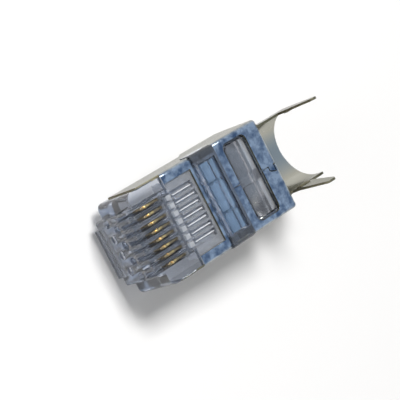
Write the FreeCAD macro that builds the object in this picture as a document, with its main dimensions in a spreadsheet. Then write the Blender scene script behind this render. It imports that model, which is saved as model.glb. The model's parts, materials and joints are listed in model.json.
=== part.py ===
"""Shielded eight-way modular plug (8P8C), not yet crimped.

The plug lies level with its contact side up.  X runs from the nose to the cable
end, Y across the plug and +Z out of the contact side.  The origin is on the front
face of the nose, on the centre plane and at mid height of the front body.
"""

import FreeCAD, Part
import os
import re

import Sketcher

Vector = FreeCAD.Vector

# Driving dimensions, in millimetres and degrees.
SIZES = {
    # moulded housing
    "front_width": 11.68,
    "front_end": 5.2,
    "half_height": 3.3,
    "nose_block_width": 8.3,
    "corner_setback": 1.2,
    "corner_round": 0.8,
    "nose_round": 0.35,
    "housing_end": 22.3,
    # contacts and their slots
    "contact_count": 8,
    "contact_pitch": 1.016,
    "slot_width": 0.56,
    "slot_end": 5.3,
    "slot_floor": 1.3,
    "blade_front": 2.25,
    "blade_length": 2.95,
    "blade_thick": 0.35,
    "blade_clearance": 0.03,
    "blade_top": 3.2,
    "blade_head": 1.0,
    "blade_notch": 0.32,
    "blade_step": 0.3,
    "blade_corner": 0.12,
    "tooth_depth": 0.5,
    "tooth_count": 3,
    "tooth_gap": 0.08,
    # wire channels in two staggered rows
    "channel_radius": 0.55,
    "channel_high": 0.3,
    "channel_low": -1.2,
    "channel_end": 7.2,
    # recess with guide ribs behind the contacts
    "recess_start": 5.7,
    "recess_width": 7.15,
    "recess_depth": 0.9,
    "recess_end": 10.5,
    "rib_width": 0.3,
    "rib_height": 0.55,
    "rib_start": 7.3,
    "block_start": 6.2,
    "block_length": 0.7,
    # cable cavity
    "cavity_width": 9.9,
    "cavity_top": 1.9,
    "cavity_floor": -2.6,
    "cavity_rear_floor": -4.2,
    "cavity_step": 12.4,
    "cavity_throat": 9.6,
    # saddle that stands up through the shield
    "saddle_start": 11.5,
    "saddle_end": 15.15,
    "saddle_rise": 0.3,
    "saddle_floor": 1.5,
    "saddle_round": 0.5,
    # strain relief bars
    "bar_thick": 0.9,
    "bar_clearance": 0.15,
    "knuckle_clearance": 0.05,
    "bar_depth": 1.5,
    "jacket_bar_hinge": 16.75,
    "jacket_bar_end": 20.25,
    "jacket_bar_width": 9.6,
    "jacket_bar_rib": 1.2,
    "wire_bar_hinge": 12.4,
    "wire_bar_end": 14.6,
    "wire_bar_width": 9.0,
    "wire_bar_rib": 0.8,
    "pad_split": 1.9,
    "pad_gap": 0.4,
    "pad_bevel": 0.3,
    "pad_groove": 0.3,
    "pad_flat": 1.15,
    "boss_rise": 0.35,
    "boss_start": 16.8,
    "boss_end": 20.1,
    "boss_inner": 0.65,
    "boss_outer": 4.75,
    "boss_round": 0.7,
    "boss_slope": 0.9,
    "boss_edge": 0.05,
    # latch
    "latch_width": 6.2,
    "latch_nose_width": 3.25,
    "latch_hinge_x": 1.9,
    "latch_hinge_z": -4.45,
    "latch_knuckle": 0.6,
    "latch_fit": 0.03,
    "latch_root_front": 0.4,
    "latch_root_bottom": -5.3,
    "latch_shoulder": 8.4,
    "latch_taper": 1.0,
    "latch_end": 14.4,
    "latch_tip_bottom": -7.2,
    "latch_tip_thick": 1.0,
    "latch_edge_round": 0.25,
    # folded shield
    "sheet": 0.3,
    "wall_proud": 0.15,
    "shield_width": "=front_width + 2 * wall_proud",
    "saddle_proud": 0.1,
    "saddle_width": "=shield_width + 2 * saddle_proud",
    "wall_start": 3.0,
    "wall_clearance": 0.05,
    "shield_end": 23.05,
    "shield_bend": 0.45,
    "flange_start": 6.6,
    "flange_width": 1.3,
    "floor_start": 8.6,
    "step_start": 15.2,
    "step_end": 16.4,
    "rear_bottom": -5.2,
    "strip_start": 10.9,
    "saddle_clearance": 0.05,
    "lip_bottom": 2.3,
    "lip_fold": 0.55,
    "window_start": 16.5,
    "window_end": 20.45,
    "window_half": 5.2,
    "window_round": 0.8,
    "seam": 0.14,
    "hook_start": 21.5,
    "hook_end": 22.45,
    "hook_neck": 0.55,
    "hook_head": 0.95,
    # cable cradle with its two ears
    "cradle_radius": 4.5,
    "neck_end": 25.0,
    "neck_corner": 1.3,
    "tail_end": 31.1,
    "wall_top": 0.8,
    "ear_root": 0.2,
    "ear_top": 6.2,
    "ear_flare": 0.45,
    "near_ear_start": 25.3,
    "near_ear_end": 28.4,
    "far_ear_start": 28.8,
    "ear_lean": 1.3,
    "ear_taper": 0.4,
    "ear_round": 0.45,
    "serration_depth": 0.15,
    "serration_pitch": 0.3,
    "serration_count": 3,
}

MARGIN = 1.0  # how far a cut runs past the face it opens
LAP = 0.1  # how far a cut runs into the one before it

doc = FreeCAD.newDocument("ModularPlug")


def make_sheet():
    """Put every driving dimension into a spreadsheet cell with an alias."""
    sheet = doc.addObject("Spreadsheet::Sheet", "Sizes")
    for row, (alias, value) in enumerate(SIZES.items(), start=1):
        sheet.set(f"A{row}", alias)
        sheet.set(f"B{row}", str(value))
        sheet.setAlias(f"B{row}", alias)
    doc.recompute()
    return sheet


sheet = make_sheet()


def linked(expression):
    """Write the sheet's name before each alias of an expression."""
    return re.sub(r"[a-z][a-z_]+", lambda word: "Sizes." + word.group(0), str(expression))


def size(expression):
    """Value of an expression of aliases, as FreeCAD works it out."""
    value = sheet.evalExpression(linked(expression))
    return float(getattr(value, "Value", value))


def bind(owner, path, expression):
    owner.setExpression(path, linked(expression))


# ---------------------------------------------------------------- sketch helpers


def new_body(label):
    body = doc.addObject("PartDesign::Body", label)
    body.Label = label
    return body


def new_sketch(body, role, offset="0"):
    """Sketch on one of the body's own origin planes, moved along its normal."""
    plane = next(item for item in body.Origin.OriginFeatures if item.Role == role)
    sketch = body.newObject("Sketcher::SketchObject", f"{body.Label}_sketch")
    sketch.AttachmentSupport = [(plane, "")]
    sketch.MapMode = "FlatFace"
    bind(sketch, ".AttachmentOffset.Base.z", offset)
    return sketch


def pin_point(sketch, edge, end, place):
    """Hold one end of a sketch edge at a place given by two expressions."""
    for kind, expression in zip(("DistanceX", "DistanceY"), place):
        index = sketch.addConstraint(Sketcher.Constraint(kind, edge, end, size(expression)))
        bind(sketch, f"Constraints[{index}]", expression)


def outline(sketch, points):
    """Closed outline of straight edges through points given as expressions."""
    places = [Vector(size(across), size(up), 0) for across, up in points]
    following = places[1:] + places[:1]
    edges = [sketch.addGeometry(Part.LineSegment(start, end)) for start, end in zip(places, following)]
    for position, edge in enumerate(edges):
        after = edges[(position + 1) % len(edges)]
        sketch.addConstraint(Sketcher.Constraint("Coincident", edge, 2, after, 1))
        pin_point(sketch, edge, 1, points[position])
    return edges


def rectangle(sketch, low_x, high_x, low_y, high_y):
    outline(sketch, [(low_x, low_y), (high_x, low_y), (high_x, high_y), (low_x, high_y)])


def circle(sketch, centre, radius):
    middle = Vector(size(centre[0]), size(centre[1]), 0)
    edge = sketch.addGeometry(Part.Circle(middle, Vector(0, 0, 1), size(radius)))
    pin_point(sketch, edge, 3, centre)
    index = sketch.addConstraint(Sketcher.Constraint("Radius", edge, size(radius)))
    bind(sketch, f"Constraints[{index}]", radius)


def arc_between(sketch, centre, radius, start, end):
    """Arc about a pinned centre, from one angle to another in degrees."""
    middle = Vector(size(centre[0]), size(centre[1]), 0)
    full = Part.Circle(middle, Vector(0, 0, 1), size(radius))
    to_radians = 3.141592653589793 / 180
    edge = sketch.addGeometry(Part.ArcOfCircle(full, start * to_radians, end * to_radians))
    pin_point(sketch, edge, 3, centre)
    index = sketch.addConstraint(Sketcher.Constraint("Radius", edge, size(radius)))
    bind(sketch, f"Constraints[{index}]", radius)
    return edge


def line_between(sketch, start, end):
    places = [Vector(size(across), size(up), 0) for across, up in (start, end)]
    return sketch.addGeometry(Part.LineSegment(*places))


def join(sketch, kind, first, first_end, second, second_end):
    sketch.addConstraint(Sketcher.Constraint(kind, first, first_end, second, second_end))


def bay(sketch, level, radius, top):
    """Half circle below a level, with upright sides that rise to a flat top."""
    bow = arc_between(sketch, ("0", level), radius, 180, 360)
    right = line_between(sketch, (radius, level), (radius, top))
    lid = line_between(sketch, (radius, top), (f"-({radius})", top))
    left = line_between(sketch, (f"-({radius})", top), (f"-({radius})", level))
    join(sketch, "Tangent", bow, 2, right, 1)
    join(sketch, "Coincident", right, 2, lid, 1)
    join(sketch, "Coincident", lid, 2, left, 1)
    join(sketch, "Tangent", left, 2, bow, 1)
    pin_point(sketch, lid, 1, (radius, top))
    pin_point(sketch, lid, 2, (f"-({radius})", top))


# --------------------------------------------------------------- feature helpers


def extrude(body, kind, sketch, length, midplane=False, reverse=False):
    """Pad or pocket of a sketch, with its length bound to the sheet."""
    before = body.Shape.Volume if not body.Shape.isNull() else 0.0
    feature = body.newObject(f"PartDesign::{kind}", f"{body.Label}_{kind.lower()}")
    feature.Profile = sketch
    feature.Midplane = midplane
    feature.Reversed = reverse
    bind(feature, "Length", length)
    doc.recompute()
    change = feature.Shape.Volume - before
    if (change <= 0) == (kind == "Pad"):
        raise RuntimeError(f"{feature.Label} of {body.Label} changes the volume by {change}")
    return feature


def edges_where(feature, test):
    """Names of the edges whose middle point and direction pass a test."""
    names = []
    for number, edge in enumerate(feature.Shape.Edges, start=1):
        middle = edge.valueAt((edge.FirstParameter + edge.LastParameter) / 2)
        along = edge.tangentAt((edge.FirstParameter + edge.LastParameter) / 2)
        if test(middle, along):
            names.append(f"Edge{number}")
    return names


def dress(body, kind, amount, test):
    """Fillet or chamfer of the edges that pass a test."""
    base = body.Tip
    names = edges_where(base, test)
    if not names:
        raise RuntimeError(f"no edge of {body.Label} fits the {kind.lower()}")
    feature = body.newObject(f"PartDesign::{kind}", f"{body.Label}_{kind.lower()}")
    feature.Base = (base, names)
    bind(feature, "Radius" if kind == "Fillet" else "Size", amount)
    doc.recompute()
    return feature


def near(first, second, reach=0.02):
    return abs(first - second) < reach


# ----------------------------------------------------------------------- housing


def contact_places():
    """Number and centre line of each contact, from the +Y side."""
    for number in range(int(size("contact_count"))):
        yield number, f"((contact_count - 1) / 2 - {number}) * contact_pitch"


def channel_height(number):
    """The odd contacts reach the lower row of wires."""
    return "channel_low" if number % 2 == 0 else "channel_high"


def housing_blocks(body):
    """Front body, narrower shielded body, nose block and latch root."""
    front = new_sketch(body, "XZ_Plane")
    rectangle(front, "corner_setback", "front_end", "-half_height", "half_height")
    extrude(body, "Pad", front, "front_width", midplane=True)
    dress(body, "Fillet", "corner_round", lambda middle, along:
          near(middle.x, size("corner_setback")) and abs(along.z) > 0.9)

    rebates = new_sketch(body, "XY_Plane", "half_height - sheet + wall_clearance")
    inner, outer = "shield_width / 2 - sheet", f"shield_width / 2 + {MARGIN}"
    rectangle(rebates, "wall_start - wall_clearance", "front_end", inner, outer)
    rectangle(rebates, "wall_start - wall_clearance", "front_end", f"-({outer})", f"-({inner})")
    extrude(body, "Pocket", rebates, "2 * half_height")

    rear = new_sketch(body, "XZ_Plane")
    under = "-half_height + sheet"
    above = "half_height - sheet"
    outline(rear, [
        ("front_end", "-half_height"), ("floor_start", "-half_height"),
        ("floor_start", under), ("step_start", under),
        ("step_end", "rear_bottom + sheet"), ("housing_end", "rear_bottom + sheet"),
        ("housing_end", above), ("flange_start", above),
        ("flange_start", "half_height"), ("front_end", "half_height"),
    ])
    extrude(body, "Pad", rear, "shield_width - 2 * sheet", midplane=True)

    saddle = new_sketch(body, "XZ_Plane")
    rectangle(saddle, "saddle_start", "saddle_end", "saddle_floor", "half_height + saddle_rise")
    extrude(body, "Pad", saddle, "saddle_width", midplane=True)
    dress(body, "Fillet", "saddle_round", lambda middle, along:
          near(abs(middle.y), size("saddle_width / 2"))
          and (near(middle.z, size("half_height + saddle_rise")) or near(middle.x, size("saddle_end"))))

    nose = new_sketch(body, "XZ_Plane")
    rectangle(nose, "0", "corner_setback", "-half_height", "half_height")
    extrude(body, "Pad", nose, "nose_block_width", midplane=True)
    dress(body, "Fillet", "nose_round", lambda middle, along:
          near(middle.x, 0) and abs(along.z) > 0.9)

    root = new_sketch(body, "XZ_Plane")
    rectangle(root, "latch_root_front", "latch_hinge_x", "latch_root_bottom", "-half_height")
    extrude(body, "Pad", root, "latch_width", midplane=True)
    dress(body, "Fillet", "latch_knuckle", lambda middle, along:
          near(middle.x, size("latch_root_front"))
          and near(middle.z, size("latch_root_bottom")) and abs(along.y) > 0.9)
    seat = new_sketch(body, "XZ_Plane")
    circle(seat, ("latch_hinge_x", "latch_hinge_z"), "latch_knuckle + latch_fit")
    extrude(body, "Pocket", seat, f"latch_width + {MARGIN}", midplane=True)


def housing_slots(body):
    """Open contact slots, with a blade slit below each one."""
    slots = new_sketch(body, "XY_Plane", "half_height")
    for _, centre in contact_places():
        rectangle(slots, f"-{MARGIN}", "slot_end",
                  f"{centre} - slot_width / 2", f"{centre} + slot_width / 2")
    extrude(body, "Pocket", slots, "half_height - slot_floor")

    for row in ("channel_low", "channel_high"):
        slits = new_sketch(body, "XY_Plane", f"slot_floor + {LAP}")
        for number, centre in contact_places():
            if channel_height(number) == row:
                half = "blade_thick / 2 + blade_clearance"
                rectangle(slits, "blade_front - blade_clearance",
                          "blade_front + blade_length + blade_clearance",
                          f"{centre} - ({half})", f"{centre} + {half}")
        extrude(body, "Pocket", slits, f"slot_floor + {LAP} - {row}")

    channels = new_sketch(body, "YZ_Plane", "channel_end")
    for number, centre in contact_places():
        circle(channels, (centre, channel_height(number)), "channel_radius")
    extrude(body, "Pocket", channels, f"channel_end + {MARGIN}")


def housing_cavity(body):
    """Cable cavity, open at the rear, and the two openings for the strain reliefs."""
    cavity = new_sketch(body, "XZ_Plane")
    outline(cavity, [
        (f"channel_end - {LAP}", "cavity_floor"), ("step_start + sheet", "cavity_floor"),
        ("step_end + sheet", "cavity_rear_floor"), (f"housing_end + {MARGIN}", "cavity_rear_floor"),
        (f"housing_end + {MARGIN}", "cavity_top"), ("cavity_step", "cavity_top"),
        ("cavity_throat", "channel_high + channel_radius + 0.5"),
        (f"channel_end - {LAP}", "channel_high + channel_radius"),
    ])
    extrude(body, "Pocket", cavity, "cavity_width", midplane=True)

    for bar in ("jacket_bar", "wire_bar"):
        opening = new_sketch(body, "XY_Plane", "half_height + saddle_rise")
        half = f"{bar}_width / 2 + bar_clearance"
        rectangle(opening, f"{bar}_hinge - bar_thick / 2 - knuckle_clearance",
                  f"{bar}_end + bar_clearance", f"-({half})", half)
        extrude(body, "Pocket", opening, f"half_height + saddle_rise - cavity_top + {LAP}")


def housing_recess(body):
    """Shallow recess behind the slots, with a comb of blocks and guide ribs."""
    recess = new_sketch(body, "XY_Plane", "half_height")
    rectangle(recess, "recess_start", "recess_end", "-recess_width / 2", "recess_width / 2")
    extrude(body, "Pocket", recess, "recess_depth")

    ribs = new_sketch(body, "XY_Plane", "half_height - recess_depth")
    for step in range(-3, 3):
        middle = f"({step} + 0.5) * contact_pitch"
        rectangle(ribs, "rib_start", "recess_end",
                  f"{middle} - rib_width / 2", f"{middle} + rib_width / 2")
    for step in range(-3, 4):
        middle = f"{step} * contact_pitch"
        rectangle(ribs, "block_start", "block_start + block_length",
                  f"{middle} - rib_width", f"{middle} + rib_width")
    extrude(body, "Pad", ribs, "rib_height")


def make_housing():
    body = new_body("housing")
    housing_blocks(body)
    housing_slots(body)
    housing_cavity(body)
    housing_recess(body)
    return body


# ---------------------------------------------------------------- moving plastic


def make_latch():
    """Flexible locking arm, from its root below the nose to its free end."""
    body = new_body("latch")
    arm = new_sketch(body, "XZ_Plane")
    knuckle_top = "latch_hinge_z + latch_knuckle"
    outline(arm, [
        ("latch_hinge_x", "latch_hinge_z - latch_knuckle"),
        ("latch_end", "latch_tip_bottom"),
        ("latch_end", "latch_tip_bottom + latch_tip_thick"),
        ("latch_hinge_x", knuckle_top),
    ])
    extrude(body, "Pad", arm, "latch_width", midplane=True)

    sides = new_sketch(body, "XY_Plane", "latch_hinge_z + latch_knuckle")
    for sign in ("", "-"):
        narrow = f"{sign}latch_nose_width / 2"
        shoulder = f"{sign}(latch_width / 2 - latch_taper / 2)"
        outer = f"{sign}(latch_width / 2 + {MARGIN})"
        outline(sides, [
            ("latch_shoulder", outer), ("latch_shoulder", shoulder),
            ("latch_shoulder + latch_taper", narrow),
            (f"latch_end + {MARGIN}", narrow), (f"latch_end + {MARGIN}", outer),
        ])
    extrude(body, "Pocket", sides, f"latch_hinge_z + latch_knuckle - latch_tip_bottom + {MARGIN}")

    knuckle = new_sketch(body, "XZ_Plane")
    circle(knuckle, ("latch_hinge_x", "latch_hinge_z"), "latch_knuckle")
    extrude(body, "Pad", knuckle, "latch_width", midplane=True)
    dress(body, "Fillet", "latch_edge_round", lambda middle, along:
          near(middle.x, size("latch_end")) and abs(along.y) > 0.9)
    return body


def make_bar(label, bar):
    """Strain relief bar, hinged at its front edge and with a biting rib behind."""
    body = new_body(label)
    top = "half_height - sheet - bar_clearance"
    middle = f"{top} - bar_thick / 2"
    profile = new_sketch(body, "XZ_Plane")
    outline(profile, [
        (f"{bar}_hinge", f"{top} - bar_thick"),
        (f"{bar}_end - {bar}_rib", f"{top} - bar_thick"),
        (f"{bar}_end - {bar}_rib / 2", f"{middle} - bar_depth"),
        (f"{bar}_end - bar_clearance", f"{middle} - bar_depth"),
        (f"{bar}_end", top), (f"{bar}_hinge", top),
    ])
    extrude(body, "Pad", profile, f"{bar}_width", midplane=True)
    knuckle = new_sketch(body, "XZ_Plane")
    circle(knuckle, (f"{bar}_hinge", middle), "bar_thick / 2")
    extrude(body, "Pad", knuckle, f"{bar}_width", midplane=True)
    return body


def make_jacket_clamp():
    """Bar that bites the cable jacket, with two bosses that slope down behind."""
    body = make_bar("jacket_clamp", "jacket_bar")
    floor = "half_height - sheet - bar_clearance"
    bosses = new_sketch(body, "XY_Plane", floor)
    rectangle(bosses, "boss_start", "boss_end", "boss_inner", "boss_outer")
    rectangle(bosses, "boss_start", "boss_end", "-boss_outer", "-boss_inner")
    extrude(body, "Pad", bosses, "boss_rise")
    dress(body, "Fillet", "boss_round", lambda middle, along:
          abs(along.z) > 0.9 and near(abs(middle.y), size("boss_outer")))
    slope = new_sketch(body, "XZ_Plane")
    outline(slope, [
        ("boss_end - boss_slope", f"{floor} + boss_rise"), ("boss_end", f"{floor} + boss_edge"),
        (f"boss_end + {MARGIN}", f"{floor} + boss_edge"), (f"boss_end + {MARGIN}", f"{floor} + boss_rise"),
    ])
    extrude(body, "Pocket", slope, "jacket_bar_width", midplane=True)
    return body


def pad_profile():
    """Side view of a conductor pad: front bevel, flat, cross groove and rear bevel."""
    floor = "half_height - sheet - bar_clearance"
    top = "half_height + saddle_rise - saddle_clearance"
    front = "wire_bar_hinge - bar_thick / 2"
    groove = f"{front} + pad_bevel + pad_flat"
    return [
        (front, floor), (f"{front} + pad_bevel", top), (groove, top),
        (f"{groove} + pad_groove / 2", f"{top} - pad_groove"),
        (f"{groove} + pad_groove", f"{top} - pad_groove"), (f"{groove} + pad_groove", top),
        ("wire_bar_end - pad_bevel", top), ("wire_bar_end - pad_bevel / 2", floor),
    ]


def make_conductor_clamp():
    """Bar that holds the wires down, with three grooved pads in the saddle."""
    body = make_bar("conductor_clamp", "wire_bar")
    side = "wire_bar_width / 2"
    gap = "pad_gap / 2"
    pads = ((f"-({side})", f"{side} - pad_split - {gap}"),
            (f"-pad_split + {gap}", "2 * pad_split - pad_gap"),
            (f"pad_split + {gap}", f"{side} - pad_split - {gap}"))
    for start, width in pads:
        pad = new_sketch(body, "XZ_Plane", start)
        outline(pad, pad_profile())
        extrude(body, "Pad", pad, width)
    return body


# ---------------------------------------------------------------------- contacts


def make_contact(number, centre):
    """Gold plated blade: a head with two shoulders and piercing teeth below."""
    body = new_body(f"contact_{number + 1}")
    blade = new_sketch(body, "XZ_Plane")
    tips = f"{channel_height(number)} + channel_radius + tooth_gap"
    gums = f"{tips} + tooth_depth"
    back = "blade_front + blade_length"
    points = [("blade_front", "blade_top - blade_corner"), ("blade_front", gums)]
    count = int(size("tooth_count"))
    for tooth in range(count):
        tip = f"blade_front + ({tooth} + 0.5) * blade_length / {count}"
        gum = f"blade_front + ({tooth} + 1) * blade_length / {count}"
        points += [(tip, tips), (gum, gums)]
    notch = "blade_front + blade_head / 2"
    points += [
        (back, "blade_top - blade_step"),
        ("blade_front + blade_head", "blade_top - blade_step"),
        ("blade_front + blade_head - blade_corner", "blade_top"),
        (f"{notch} + blade_notch / 2", "blade_top"),
        (notch, "blade_top - blade_notch"),
        (f"{notch} - blade_notch / 2", "blade_top"),
        ("blade_front + blade_corner", "blade_top"),
    ]
    outline(blade, points)
    extrude(body, "Pad", blade, "blade_thick", midplane=True)
    body.Placement = FreeCAD.Placement(Vector(0, size(centre), 0), FreeCAD.Rotation())
    return body


# ------------------------------------------------------------------------ shield


def shield_shell(body):
    """Box of sheet round the housing with bent corners and a folded rear lip."""
    outside = new_sketch(body, "XZ_Plane")
    outline(outside, [
        ("wall_start", "-half_height"), ("step_start", "-half_height"),
        ("step_end", "rear_bottom"), ("shield_end", "rear_bottom"),
        ("shield_end", "half_height"), ("wall_start", "half_height"),
    ])
    extrude(body, "Pad", outside, "shield_width", midplane=True)
    dress(body, "Fillet", "lip_fold", lambda middle, along:
          near(middle.x, size("shield_end")) and near(middle.z, size("half_height"))
          and abs(along.y) > 0.9)
    dress(body, "Fillet", "shield_bend", lambda middle, along:
          near(abs(middle.y), size("shield_width / 2")) and abs(along.x) > 0.1)

    inside = new_sketch(body, "XZ_Plane")
    under = "-half_height + sheet"
    outline(inside, [
        (f"wall_start - {MARGIN}", under), ("step_start", under),
        ("step_end", "rear_bottom + sheet"), (f"shield_end + {MARGIN}", "rear_bottom + sheet"),
        (f"shield_end + {MARGIN}", "lip_bottom"), ("shield_end - sheet", "lip_bottom"),
        ("shield_end - sheet", "half_height - lip_fold"),
        ("shield_end - lip_fold", "half_height - sheet"),
        (f"wall_start - {MARGIN}", "half_height - sheet"),
    ])
    extrude(body, "Pocket", inside, "shield_width - 2 * sheet", midplane=True)


def rounded_window(sketch, start, end, half, corner):
    """Closed rectangle with round corners, centred across the plug."""
    rims = (f"{start} + {corner}", f"{end} - {corner}", f"{half} - {corner}")
    low_x, high_x, high_y = rims
    low_y = f"-({high_y})"
    front_far = arc_between(sketch, (low_x, high_y), corner, 90, 180)
    front_near = arc_between(sketch, (low_x, low_y), corner, 180, 270)
    rear_near = arc_between(sketch, (high_x, low_y), corner, 270, 360)
    rear_far = arc_between(sketch, (high_x, high_y), corner, 0, 90)
    front = line_between(sketch, (start, high_y), (start, low_y))
    near_side = line_between(sketch, (low_x, f"-({half})"), (high_x, f"-({half})"))
    rear = line_between(sketch, (end, low_y), (end, high_y))
    far_side = line_between(sketch, (high_x, half), (low_x, half))
    ring = (front_far, front, front_near, near_side, rear_near, rear, rear_far, far_side)
    for edge, after in zip(ring, ring[1:] + ring[:1]):
        join(sketch, "Tangent", edge, 2, after, 1)


def shield_openings(body):
    """Cut edges of the blank: front opening, saddle, window and seam."""
    front = new_sketch(body, "XY_Plane", "half_height")
    reach = f"shield_width / 2 + {MARGIN}"
    open_half = "shield_width / 2 - flange_width"
    outline(front, [
        (f"wall_start - {MARGIN}", f"-({reach})"), ("flange_start", f"-({reach})"),
        ("flange_start", f"-({open_half})"), ("strip_start", f"-({open_half})"),
        ("strip_start", open_half), ("flange_start", open_half),
        ("flange_start", reach), (f"wall_start - {MARGIN}", reach),
    ])
    extrude(body, "Pocket", front, "sheet")

    floor = new_sketch(body, "XY_Plane", "-half_height + sheet")
    rectangle(floor, f"wall_start - {MARGIN}", "floor_start", f"-({reach})", reach)
    extrude(body, "Pocket", floor, "sheet")

    saddle = new_sketch(body, "XZ_Plane")
    rectangle(saddle, "saddle_start - saddle_clearance", "saddle_end + saddle_clearance",
              "saddle_floor - saddle_clearance", f"half_height + {MARGIN}")
    extrude(body, "Pocket", saddle, f"shield_width + {MARGIN}", midplane=True)

    window = new_sketch(body, "XY_Plane", "half_height")
    rounded_window(window, "window_start", "window_end", "window_half", "window_round")
    extrude(body, "Pocket", window, "sheet")

    seams = new_sketch(body, "XY_Plane", "half_height")
    rectangle(seams, f"strip_start - {LAP}", "saddle_start", "-seam / 2", "seam / 2")
    rectangle(seams, "saddle_end", f"window_start + {LAP}", "-seam / 2", "seam / 2")
    outline(seams, [
        (f"window_end - {LAP}", "-seam / 2"), ("hook_start - seam / 2", "-seam / 2"),
        ("hook_start - seam / 2", "-hook_neck - seam / 2"),
        ("hook_end + seam / 2", "-hook_head - seam / 2"),
        ("hook_end + seam / 2", "-seam / 2"), (f"shield_end + {MARGIN}", "-seam / 2"),
        (f"shield_end + {MARGIN}", "seam / 2"), ("hook_end - seam / 2", "seam / 2"),
        ("hook_end - seam / 2", "-hook_head + seam"),
        ("hook_start + seam / 2", "-hook_neck + seam / 2"),
        ("hook_start + seam / 2", "seam / 2"), (f"window_end - {LAP}", "seam / 2"),
    ])
    extrude(body, "Pocket", seams, "sheet")


def trough(sketch, half, corner, bottom, top):
    """Closed trough section: two upright sides, two corners and a floor."""
    turn = f"({half}) - ({corner})"
    level = f"({bottom}) + ({corner})"
    right = line_between(sketch, (half, top), (half, level))
    right_arc = arc_between(sketch, (turn, level), corner, -90, 0)
    left_arc = arc_between(sketch, (f"-({turn})", level), corner, 180, 270)
    left = line_between(sketch, (f"-({half})", level), (f"-({half})", top))
    lid = line_between(sketch, (f"-({half})", top), (half, top))
    join(sketch, "Tangent", right, 2, right_arc, 2)
    join(sketch, "Tangent", left_arc, 1, left, 1)
    join(sketch, "Coincident", left, 2, lid, 1)
    join(sketch, "Coincident", lid, 2, right, 1)
    pin_point(sketch, lid, 1, (f"-({half})", top))
    pin_point(sketch, lid, 2, (half, top))
    floor = line_between(sketch, (turn, bottom), (f"-({turn})", bottom))
    join(sketch, "Tangent", right_arc, 1, floor, 1)
    join(sketch, "Tangent", floor, 2, left_arc, 2)


def shield_neck(body):
    """Neck that gathers the box of sheet into the round cradle."""
    sections = []
    for kind, shrink in (("AdditiveLoft", "0"), ("SubtractiveLoft", "sheet")):
        start = new_sketch(body, "YZ_Plane", "shield_end - sheet")
        trough(start, f"shield_width / 2 - {shrink}", f"neck_corner - {shrink}",
               f"rear_bottom + {shrink}", "wall_top")
        end = new_sketch(body, "YZ_Plane", "neck_end")
        trough(end, f"cradle_radius + sheet - {shrink}", f"cradle_radius + sheet - 0.05 - {shrink}",
               f"rear_bottom + {shrink}", "wall_top")
        sections.append((kind, start, end))
    for kind, start, end in sections:
        loft = body.newObject(f"PartDesign::{kind}", f"shield_{kind.lower()}")
        loft.Profile = start
        loft.Sections = [end]
        loft.Ruled = True
        doc.recompute()


def shield_tail(body):
    """Half round cradle for the cable jacket, with its two bent-up ears."""
    axis = "rear_bottom + sheet + cradle_radius"
    inner, outer = "cradle_radius", "cradle_radius + sheet"
    cradle = new_sketch(body, "YZ_Plane", "neck_end")
    bay(cradle, axis, outer, "wall_top")
    extrude(body, "Pad", cradle, "tail_end - neck_end")
    bed = new_sketch(body, "YZ_Plane", f"tail_end + {MARGIN}")
    bay(bed, axis, inner, f"wall_top + {MARGIN}")
    extrude(body, "Pocket", bed, f"tail_end + {MARGIN} - neck_end")

    spans = (("near_ear_start", "near_ear_end"), ("far_ear_start", "tail_end"))
    near_flare = ("ear_flare", spans[0], "-")
    far_flare = ("0", spans[1], "")
    for flare, (start, end), sign in (near_flare, far_flare):
        ear = new_sketch(body, "YZ_Plane", start)
        outline(ear, [
            (f"{sign}({inner})", "ear_root"), (f"{sign}({outer})", "ear_root"),
            (f"{sign}({outer})", "wall_top + 1"),
            (f"{sign}({outer} + {flare})", "ear_top"),
            (f"{sign}({inner} + {flare})", "ear_top"),
            (f"{sign}({inner})", "wall_top + 1"),
        ])
        extrude(body, "Pad", ear, f"{end} - {start}")

    trims = new_sketch(body, "XZ_Plane")
    above = f"ear_top + {MARGIN}"
    near_start, near_end, far_start = *spans[0], spans[1][0]
    for foot, tip, outside in (
            (near_start, f"{near_start} + ear_lean", f"{near_start} - {LAP}"),
            (near_end, f"{near_end} - ear_taper", f"{near_end} + {LAP}"),
            (far_start, f"{far_start} + ear_lean", f"{far_start} - {LAP}")):
        outline(trims, [
            (foot, "wall_top"), (tip, "ear_top"), (tip, above),
            (outside, above), (outside, "wall_top"),
        ])
    extrude(body, "Pocket", trims, f"shield_width + 2 * {MARGIN}", midplane=True)
    dress(body, "Fillet", "ear_round", lambda middle, along:
          near(middle.z, size("ear_top"), 0.1) and abs(along.y) > 0.5)
    ear_serrations(body, spans)


def ear_serrations(body, spans):
    """Small ridges across the root of each ear that bite into the cable jacket."""
    for sign, (start, end) in zip(("-", ""), spans):
        ridges = new_sketch(body, "YZ_Plane", f"{start} + ear_lean / 2")
        for number in range(int(size("serration_count"))):
            low = f"wall_top + ({number} + 0.5) * serration_pitch"
            outline(ridges, [
                (f"{sign}(cradle_radius + sheet / 2)", low),
                (f"{sign}(cradle_radius)", low),
                (f"{sign}(cradle_radius - serration_depth)", f"{low} + serration_pitch / 2"),
                (f"{sign}(cradle_radius)", f"{low} + 0.9 * serration_pitch"),
                (f"{sign}(cradle_radius + sheet / 2)", f"{low} + 0.9 * serration_pitch"),
            ])
        extrude(body, "Pad", ridges, f"{end} - {start} - ear_lean")


def make_shield():
    body = new_body("shield")
    shield_shell(body)
    shield_openings(body)
    shield_neck(body)
    shield_tail(body)
    return body


# ------------------------------------------------------------------------ export


def check_model(bodies):
    """Stop before writing anything if a feature failed or a shape is unsound."""
    doc.recompute()
    for item in doc.Objects:
        if {"Invalid", "Error"} & set(item.State):
            raise RuntimeError(f"{item.Label} failed: {item.State}")
    for body in bodies:
        if body.Shape.isNull() or not body.Shape.isValid() or not body.Shape.Solids:
            raise RuntimeError(f"{body.Label} has no sound shape")
        print(f"{body.Label:16s} solids {len(body.Shape.Solids)}  volume {body.Shape.Volume:8.3f}")


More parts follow.
